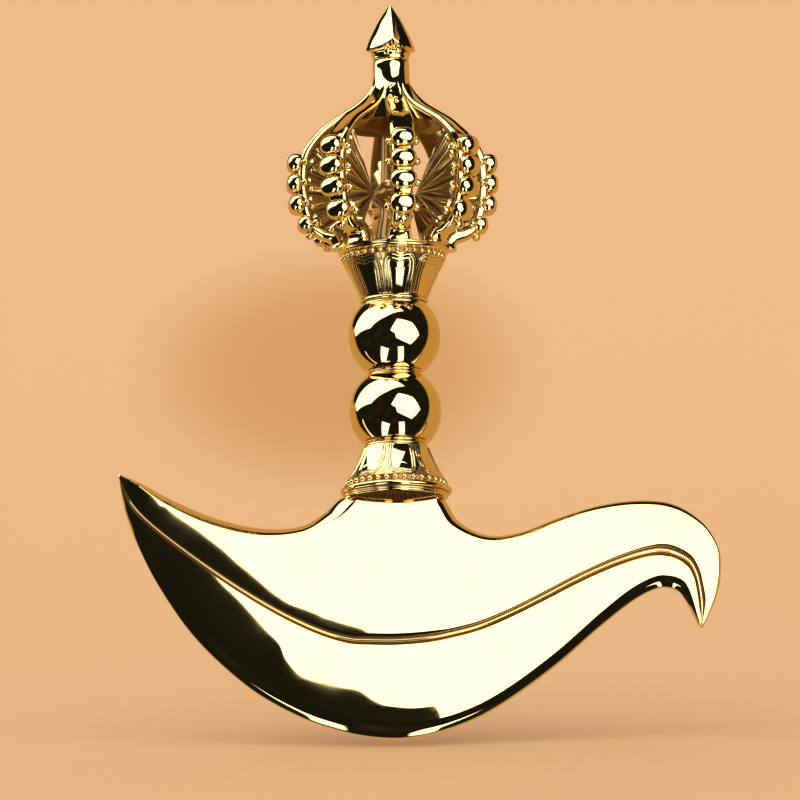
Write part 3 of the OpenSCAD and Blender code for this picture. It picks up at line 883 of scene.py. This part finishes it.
# Web that joins an arm to its neighbours under the neck: distance out and height.
WEB = [(4.0, 97.0), (4.5, 96.3), (5.2, 94.9), (6.1, 93.3), (7.2, 91.7), (8.5, 90.2), (9.7, 89.0),
       (10.9, 87.8), (12.1, 86.7)]
# Small cast beads down the front arm and the back one: distance out, aside and height.
ARM_BEADS = [(4.7, -0.7, 95.4), (5.5, -0.6, 93.9), (6.9, -0.9, 92.6), (8.9, 0.3, 91.1)]
# Heights between which the lean of the crown's belt grows, and between which it fades.
LEAN_GROWS = (58.6, 65.0)
LEAN_FADES = (80.0, 93.0)


def prong_body(path):
    """Swept body of a prong. Its section is a rounded square of raised cosines and sines, and on the
    arm the field between its raised edges is sunk. Its inner side, facing the crown's middle, gets
    painted shade."""
    rows = smooth_rows(path, 7)
    place = rows[:, :2]
    along = np.gradient(place, axis=0)
    along[0] = along[-1] = (0, 1)
    along = along / np.linalg.norm(along, axis=1)[:, None]
    across = np.stack([along[:, 1], -along[:, 0]], -1)
    a = np.arange(48) * (2 * math.pi / 48)
    u = raised(np.cos(a), PRONG_POWER)
    v = raised(np.sin(a), PRONG_POWER)
    sunk = rows[:, 4:5] * step_up(0.80 - np.abs(v), 0, 0.22) * (u > 0)
    off = rows[:, 2:3] * u - sunk
    x = place[:, :1] + across[:, :1] * off
    z = place[:, 1:2] + across[:, 1:2] * off
    y = rows[:, 3:4] * v
    return np.stack([x, y, z], -1), 0.9 * step_up(-u, 0.1, 0.6)


def prong_fan(depth):
    """Fan inside a prong: both faces are round ribs, half a sine each, that die out at the tip,
    on a plate that thickens from the tip and is rounded off under the pillows."""
    far = smooth_rows(FAN_REACH, 12)
    angle = np.linspace(FAN_RIBS[0], FAN_RIBS[-1], 113)
    length = np.interp(angle, far[:, 0], far[:, 1])
    s = np.linspace(0.02, 1, 34)[:, None]
    rib = np.interp(angle, FAN_RIBS, np.arange(len(FAN_RIBS)))
    wave = np.abs(np.sin(math.pi * rib)) ** 0.8
    part = np.linspace(0, 1, len(angle))
    edge = np.sqrt(np.clip(np.minimum(part, 1 - part) * 20, 0, 1))
    thick = (0.35 + 3.0 * s**1.2) * edge * (1 - 0.4 * step_up(angle, 38, 56))
    thick = thick * (1 - 0.55 * step_up(s, 0.88, 1.0))
    cut = depth * (1 - wave) * step_up(s, 0.0, 0.45)
    y = np.maximum(thick - cut, 0.0)
    x = FAN_TIP[0] + s * length * np.cos(np.radians(angle))
    z = FAN_TIP[1] + s * length * np.sin(np.radians(angle))
    one = np.stack([x, -y, z], -1)
    two = np.stack([x, y, z], -1)[:, ::-1]
    # Painted shade: darker between the ribs and towards the fan's inner tip, inside the crown.
    shade_tone = np.clip(1.1 * (1 - wave) ** 1.5 * step_up(s, 0.05, 0.5) + 0.7 * (1 - s), 0, 1)
    return np.concatenate([one, two], 1), np.concatenate([shade_tone, shade_tone[:, ::-1]], 1)


def web_sector():
    """Eighth of the bell under the neck: the profile turned through 45 degrees, with an inner
    face 0.6 mm further in and 0.45 mm lower that meets the outer one at the top and the lip."""
    profile = smooth_rows(WEB, 5)
    t = np.linspace(0, 1, len(profile))[:, None]
    a = np.linspace(-math.pi / 8, math.pi / 8, 15)[None, :]
    pinch = np.minimum(1, 6 * np.minimum(t, 1 - t))
    outer = profile[:, :1]
    inner = outer - 0.6 * pinch
    drop = -0.45 * pinch
    z = profile[:, 1:]
    one = np.stack([outer * np.cos(a), outer * np.sin(a), z + 0 * a], -1)
    two = np.stack([inner * np.cos(a), inner * np.sin(a), z + drop + 0 * a], -1)[:, ::-1]
    return np.concatenate([one, two], 1)


def prong_shells(sizes):
    """All surfaces of one prong that points along +X, as pairs of points and painted shade."""
    parts = [prong_body(PRONG_PATH), prong_fan(sizes.rib_depth / MM)]
    longest = sizes.pillow_length / MM
    for out, high, share, tall in PILLOWS:
        half = longest * share / 2
        pillow = round_lump((out, 0, high), (PILLOW_HALF_DEPTH, half, tall), 22, 36, 0.82)
        parts.append((pillow, 0.0))
        for sign in (-1, 1):
            bead = (out - 1.9, sign * (half + 0.3), high - 0.4)
            parts.append((round_lump(bead, [SIDE_BEAD] * 3, 10, 16), 0.0))
    parts.append((round_lump(*ROOT_KNOB, 12, 20), 0.0))
    return parts


def leaned(points, lean):
    """Points of the crown with its belt leaned: z grows by 0.3 mm and by the tangent of lean
    times the way to the front and a little to +X, with nothing at the roots and the neck."""
    z = points[..., 2]
    weight = step_up(z, *LEAN_GROWS) * (1 - step_up(z, *LEAN_FADES))
    rise = weight * (0.3 + math.tan(lean) * (0.22 * points[..., 0] - points[..., 1]))
    return np.stack([points[..., 0], points[..., 1], z + rise], -1)


class MakeProngs(bpy.types.Operator):
    """Make the eight outer prongs"""

    bl_idname = "chopper.prongs"
    bl_label = "Prongs"

    def execute(self, context):
        sizes = context.scene.chopper_crown
        parts = prong_shells(sizes)
        web = web_sector()
        beads = [round_lump(place, [ARM_BEAD] * 3, 8, 12) for place in ARM_BEADS]
        for k in range(8):
            shell = Shell()
            angle = -math.pi / 2 + sizes.turn + k * math.pi / 4
            for points, shade_tone in parts:
                shell.grid(leaned(rotated(points, angle), sizes.lean), shade_tone)
            # The web's inner face gets full painted shade.
            shell.grid(rotated(web, angle), np.repeat([0.0, 1.0], web.shape[1] // 2), caps=False)
            for bead in beads if k % 4 == 0 else []:
                shell.grid(rotated(bead, angle))
            node = f"prong_{k + 1}"
            put("cast_" + node, shell, [node], "crown_brass")
        return {"FINISHED"}


class MakeCentreProng(bpy.types.Operator):
    """Make the turned shaft in the middle of the crown"""

    bl_idname = "chopper.centre_prong"
    bl_label = "Centre prong"

    def execute(self, context):
        low = span("centre_prong")[0]
        neck = span("neck_cap")[0]
        foot = [(5.0, low), (5.0, low + 1.2), (4.2, low + 2.2), (3.6, low + 5.6), (3.0, low + 8.5)]
        knop = [(3.1, low + 10.0), (4.2, low + 11.3), (4.6, low + 12.5), (4.2, low + 13.7),
                (3.0, low + 15.2)]
        shaft = [(2.7, low + 17.0), (2.2, neck - 10), (1.7, neck - 5), (1.7, neck + 3)]
        profile = smooth_rows(foot[2:] + knop + shaft, 6)
        profile = np.concatenate([[(0.5, low)], foot[:2], profile, [(0.5, neck + 3)]])
        # The whole shaft gets full painted shade, as it stands inside the crown.
        put_turned("centre_shaft", profile, "centre_prong", "crown_brass", 1.0, 64)
        return {"FINISHED"}


# Profile of the neck from its lip down: radius, and height over the CAD node's top.
NECK_CURVE = [[3.1, 0.2], [3.75, 0.0], [4.1, -0.4], [4.25, -1.0], [4.2, -2.4], [4.27, -4.3],
              [4.5, -5.6], [4.95, -7.0]]


class MakeNeck(bpy.types.Operator):
    """Make the neck that gathers the arms of the prongs"""

    bl_idname = "chopper.neck"
    bl_label = "Neck"

    def execute(self, context):
        top = span("neck_cap")[1]
        profile = np.concatenate([[(0.4, 0.25)], smooth_rows(NECK_CURVE, 8),
                                  [(4.3, -7.0), (0.4, -5.5)]])
        put_turned("neck", profile + np.array([0, top]), "neck_cap", "crown_brass", count=128)
        return {"FINISHED"}


# How far the middle of a side of the point bulges over its chord, as a share of the reach,
# then in millimetres how far its rim rises at the front and back corners, and its tip over
# the CAD node's.
BULGE = 0.14
RIM_RISE = 1.7
TIP_RISE = 0.4
# Rows of the point under and over its rim: share of its reach, share of its height, share of
# the four-sided plan over a round one, and share of the rim's rise.
POINT_FOOT = [[0.62, 0.0, 0, 0], [0.68, 0.05, 0, 0.2], [0.74, 0.11, 0.15, 0.5],
              [0.88, 0.165, 0.6, 0.8], [0.985, 0.205, 1, 1]]
POINT_FACES = [[1.0, 0.235, 1, 1], [0.84, 0.41, 1, 0.5], [0.63, 0.59, 1, 0.2],
               [0.43, 0.75, 1, 0], [0.22, 0.89, 1, 0], [0.05, 1.0, 1, 0]]
# Profile of the turned seat under the point, from its radius and height.
POINT_SEAT = [[3.0, 0.0], [4.1, 0.05], [4.25, 0.7], [4.5, 1.5], [3.2, 1.7]]
# Four small leaves on that seat: how far out, aside and up from its foot, and their radii.
SEAT_LEAF = (3.8, 1.15, 1.75)
LEAF_RADII = (0.75, 0.8, 1.25)


class MakePoint(bpy.types.Operator):
    """Make the four-sided point"""

    bl_idname = "chopper.point"
    bl_label = "Spear point"

    def execute(self, context):
        low, top, reach = span("spear_point")
        top = top + TIP_RISE
        turn = context.scene.chopper_crown.turn
        rows = np.concatenate([smooth_rows(POINT_FOOT, 5), smooth_rows(POINT_FACES, 6)])
        rows = rows[:, :, None]
        share = np.arange(24) / 24
        corners = [(math.cos(a), math.sin(a)) for a in np.arange(5) * math.pi / 2]
        plan = []
        for one, two in zip(corners, corners[1:]):
            out = (np.array(one) + two) / math.sqrt(2)
            chord = np.outer(1 - share, one) + np.outer(share, two)
            plan.append(chord + np.outer(BULGE * 4 * share * (1 - share), out))
        plan = np.concatenate(plan)
        ring = 0.8 * plan / np.linalg.norm(plan, axis=1)[:, None]
        facing = np.abs(plan[:, 1]) ** 5
        flat = reach * rows[:, 0, :, None] * mix(ring, plan, rows[:, 2, :, None])
        z = mix(low, top, rows[:, 1]) + RIM_RISE * rows[:, 3] * (facing - 0.25)
        points = np.concatenate([flat, z[..., None]], -1)
        shell = Shell()
        shell.grid(rotated(points, turn))
        shell.grid(turned(smooth_rows(POINT_SEAT, 6) + np.array([0, low]), 96))
        out, aside, rise = SEAT_LEAF
        for x in (-out, out):
            for y in (-aside, aside):
                leaf = round_lump((x, y, low + rise), LEAF_RADII, 12, 18)
                shell.grid(rotated(leaf, math.pi / 2 + turn))
        put("four_sided_point", shell, ["spear_point"], "crown_brass", math.radians(20))
        return {"FINISHED"}


class DressRod(bpy.types.Operator):
    """Give the hidden tie rod its steel"""

    bl_idname = "chopper.rod"
    bl_label = "Tie rod"

    def execute(self, context):
        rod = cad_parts["tie_rod"]
        rod.data.materials.clear()
        rod.data.materials.append(plain_steel())
        return {"FINISHED"}


# Studio

# Half the floor's width, its height under the handle and how steeply it rises to the back.
FLOOR_HALF = 9000.0
FLOOR_FOOT = -58.0
FLOOR_SLOPE = math.radians(17)
# Where the camera looks in millimetres, how steeply it looks up and how far it is rolled.
VIEW_MIDDLE = (1.1, 0.0, 22.7)
VIEW_RISE = math.radians(10.6)
VIEW_ROLL = math.radians(0.745)
# The large front panel: corners across and up on a plane in front of the object.
FRONT_PANEL = [(-68, 77), (58, 315), (444, 305), (849, 22), (400, -239), (32, -58), (10, 24),
               (-9, 37.2), (-20, 41), (-28, 45.2), (-39, 54.2)]
FRONT_PANEL_AWAY = 400.0
# Corners of the dark card that the right face of the point reflects.
DARK_CARD = [(52, 8, 131), (62, 52, 131), (22, 56, 172), (12, 12, 172)]
# Directions to the corners of the world's white panels: over the object, and two low strips
# in front, on the left and on the right. Then how soft their edges are.
WORLD_PANELS = [
    [(-0.922, 0.376, 0.093), (-0.865, -0.440, 0.242), (-0.309, -0.686, 0.659),
     (0.345, -0.455, 0.821), (-0.030, -0.245, 0.969), (-0.820, 0.509, 0.262)],
    [(-0.540, -0.668, -0.512), (-0.238, -0.730, -0.640), (-0.313, -0.059, -0.948),
     (-0.415, 0.003, -0.910)],
    [(0.145, -0.798, -0.585), (0.365, -0.745, -0.555), (0.260, -0.020, -0.966),
     (0.110, -0.063, -0.990)],
]
PANEL_SOFT = 0.02
# Focal length in millimetres for each metre of distance that frames the object.
LENS_PER_METRE = 195.65


def light_world(studio):
    """Surround light: warm behind and below, near black in front, with a white panel over
    the object, two low strips and a dark screen behind on the left. Each panel is a product of
    smooth steps over the planes through its sides."""
    world = bpy.data.worlds.new("surround")
    world.use_nodes = True
    bpy.context.scene.world = world
    graph = Graph(world.node_tree)
    way = graph.node("ShaderNodeTexCoord").outputs["Generated"]

    def panel(corners):
        """1 inside the corners, which go round as seen from the object."""
        mask = None
        corners = [Vector(c).normalized() for c in corners]
        middle = sum(corners, Vector()).normalized()
        for one, two in zip(corners, corners[1:] + corners[:1]):
            plane = one.cross(two).normalized()
            if plane.dot(middle) < 0:
                plane = -plane
            side = graph.dot(way, tuple(plane)).step(-PANEL_SOFT, PANEL_SOFT)
            mask = side if mask is None else mask * side
        return mask

    behind = graph.dot(way, (0.2, 0.967, -0.14)).step(0.21, 0.32)
    screen = graph.dot(way, (-0.64, 0.56, 0.53)).step(0.95, 0.975)
    smudge = graph.noise(way, 4.0, 3.0).step(0.5, 0.8)
    dark = graph.blend(smudge, (0.010, 0.011, 0.008), (0.032, 0.028, 0.018))
    light = graph.blend(behind * (1 - screen), dark, tuple(studio.surround))
    white = (studio.panel_light, studio.panel_light * 0.99, studio.panel_light * 0.96)
    for corners in WORLD_PANELS:
        light = graph.blend(panel(corners), light, white)
    rays = graph.node("ShaderNodeLightPath").outputs
    even = (studio.daylight, studio.daylight, studio.daylight)
    lit = graph.blend(Value(graph, rays["Is Diffuse Ray"]), light, even)
    seen = graph.blend(Value(graph, rays["Is Camera Ray"]), lit, tuple(studio.floor))
    back = graph.node("ShaderNodeBackground", {}, {"Color": seen})
    graph.node("ShaderNodeOutputWorld", {}, {"Surface": back.outputs[0]})


def stage_mesh(name, corners, material):
    """A flat stage piece from its corners in millimetres."""
    mesh = bpy.data.meshes.new(name)
    mesh.from_pydata([tuple(c * MM for c in corner) for corner in corners], [],
                     [tuple(range(len(corners)))])
    mesh.materials.append(material)
    made = bpy.data.objects.new(name, mesh)
    bpy.context.scene.collection.objects.link(made)
    return made


def floor_material(studio):
    """Matt warm paper with a faint grain and a painted shadow, a deeper, more orange patch behind
    the handle, seen from its upper side only."""
    material = bpy.data.materials.new("floor_paper")
    material.use_nodes = True
    graph = Graph(material.node_tree)
    place = graph.node("ShaderNodeTexCoord").outputs["Object"]
    grain = graph.noise(place, 300.0, 2.0).step(0.3, 0.7)
    base = tuple(studio.floor)
    # Painted shadow: an oval patch behind the handle where the paper is darker and more orange.
    across = graph.dot(place, (25.0, 0, 0)) + 0.4
    along = graph.dot(place, (0, 4.6, 0)) - 3.5
    shadow_pool = (across * across + along * along).step(0.0, 2.4)
    warm = tuple(c * k for c, k in zip(base, (0.79, 0.69, 0.48)))
    paper_and_shadow = graph.blend(shadow_pool, warm, base)
    paper_and_shadow = graph.blend(grain * 0.05, paper_and_shadow, tuple(c * 0.8 for c in base))
    paper = graph.node("ShaderNodeBsdfPrincipled", {}, {"Base Color": paper_and_shadow, "Roughness": 0.9,
                                                        "Specular IOR Level": 0.1})
    clear = graph.node("ShaderNodeBsdfTransparent")
    under = graph.node("ShaderNodeNewGeometry").outputs["Backfacing"]
    both = graph.node("ShaderNodeMixShader", {}, {0: under, 1: paper.outputs[0],
                                                  2: clear.outputs[0]})
    graph.node("ShaderNodeOutputMaterial", {}, {"Surface": both.outputs[0]})
    return material


def panel_material(name, strength):
    """Even white light of a panel, or a dark card at a low strength."""
    material = bpy.data.materials.new(name)
    material.use_nodes = True
    graph = Graph(material.node_tree)
    lamp = graph.node("ShaderNodeEmission", {}, {"Color": (1.0, 0.99, 0.96),
                                                 "Strength": strength})
    graph.node("ShaderNodeOutputMaterial", {}, {"Surface": lamp.outputs[0]})
    return material


class SetStage(bpy.types.Operator):
    """Set the floor, the lights and the camera"""

    bl_idname = "chopper.stage"
    bl_label = "Stage"

    def execute(self, context):
        studio = context.scene.chopper_studio
        corners = [(x, y, FLOOR_FOOT + y * math.tan(FLOOR_SLOPE))
                   for x, y in np.array([(-1, -1), (1, -1), (1, 1), (-1, 1)]) * FLOOR_HALF]
        floor = stage_mesh("floor", corners, floor_material(studio))
        floor.visible_glossy = False
        lamp = stage_mesh("front_panel", [(x, -FRONT_PANEL_AWAY, z) for x, z in FRONT_PANEL],
                          panel_material("panel_white", studio.panel_light))
        card = stage_mesh("dark_card", DARK_CARD, panel_material("card_black", 0.01))
        for made in (lamp, card):
            made.visible_camera = False
            made.visible_diffuse = False
            made.visible_shadow = False
        light_world(studio)
        lens = bpy.data.cameras.new("camera")
        lens.lens = LENS_PER_METRE * studio.distance
        lens.sensor_width = 36
        lens.clip_end = 100
        lens.clip_start = 0.01
        camera = bpy.data.objects.new("camera", lens)
        context.scene.collection.objects.link(camera)
        ahead = Vector((0, math.cos(VIEW_RISE), math.sin(VIEW_RISE)))
        level = Vector((1, 0, 0))
        upward = level.cross(ahead)
        right = level * math.cos(VIEW_ROLL) - upward * math.sin(VIEW_ROLL)
        above = upward * math.cos(VIEW_ROLL) + level * math.sin(VIEW_ROLL)
        place = Vector(VIEW_MIDDLE) * MM - ahead * studio.distance
        camera.matrix_world = Matrix((
            (right.x, above.x, -ahead.x, place.x),
            (right.y, above.y, -ahead.y, place.y),
            (right.z, above.z, -ahead.z, place.z),
            (0, 0, 0, 1)))
        context.scene.camera = camera
        context.scene.view_settings.view_transform = "Standard"
        return {"FINISHED"}


class ChopperPanel(bpy.types.Panel):
    """Lists the sizes, the colours and the steps."""

    bl_idname = "VIEW3D_PT_chopper"
    bl_label = "Ritual chopper"
    bl_space_type = "VIEW_3D"
    bl_region_type = "UI"
    bl_category = "Chopper"

    def draw(self, context):
        for group in (context.scene.chopper_blade, context.scene.chopper_handle,
                      context.scene.chopper_crown, context.scene.chopper_finish,
                      context.scene.chopper_studio):
            box = self.layout.box()
            for key in group.bl_rna.properties.keys():
                if key not in ("rna_type", "name"):
                    box.prop(group, key)
        for step in STEPS:
            self.layout.operator(step.bl_idname)


STEPS = (MakeBlade, MakeFlange, MakeBeadRows, MakeLotusCollars, MakeRings, MakeBalls,
         MakeCrownPlate, MakeProngs, MakeCentreProng, MakeNeck, MakePoint, DressRod, SetStage)
GROUPS = {"chopper_blade": BladeSizes, "chopper_handle": HandleSizes,
          "chopper_crown": CrownSizes, "chopper_finish": Finish, "chopper_studio": Studio}


def register():
    for kind in (*GROUPS.values(), *STEPS, ChopperPanel):
        bpy.utils.register_class(kind)
    for name, kind in GROUPS.items():
        setattr(bpy.types.Scene, name, PointerProperty(type=kind))


def unregister():
    for name in GROUPS:
        delattr(bpy.types.Scene, name)
    for kind in (ChopperPanel, *reversed(STEPS), *GROUPS.values()):
        bpy.utils.unregister_class(kind)


def main():
    register()
    bpy.ops.chopper.blade()
    bpy.ops.chopper.flange()
    bpy.ops.chopper.bead_rows()
    bpy.ops.chopper.lotus_collars()
    bpy.ops.chopper.rings()
    bpy.ops.chopper.balls()
    bpy.ops.chopper.crown_plate()
    bpy.ops.chopper.prongs()
    bpy.ops.chopper.centre_prong()
    bpy.ops.chopper.neck()
    bpy.ops.chopper.point()
    bpy.ops.chopper.rod()
    bpy.ops.chopper.stage()


if __name__ == "__main__":
    main()
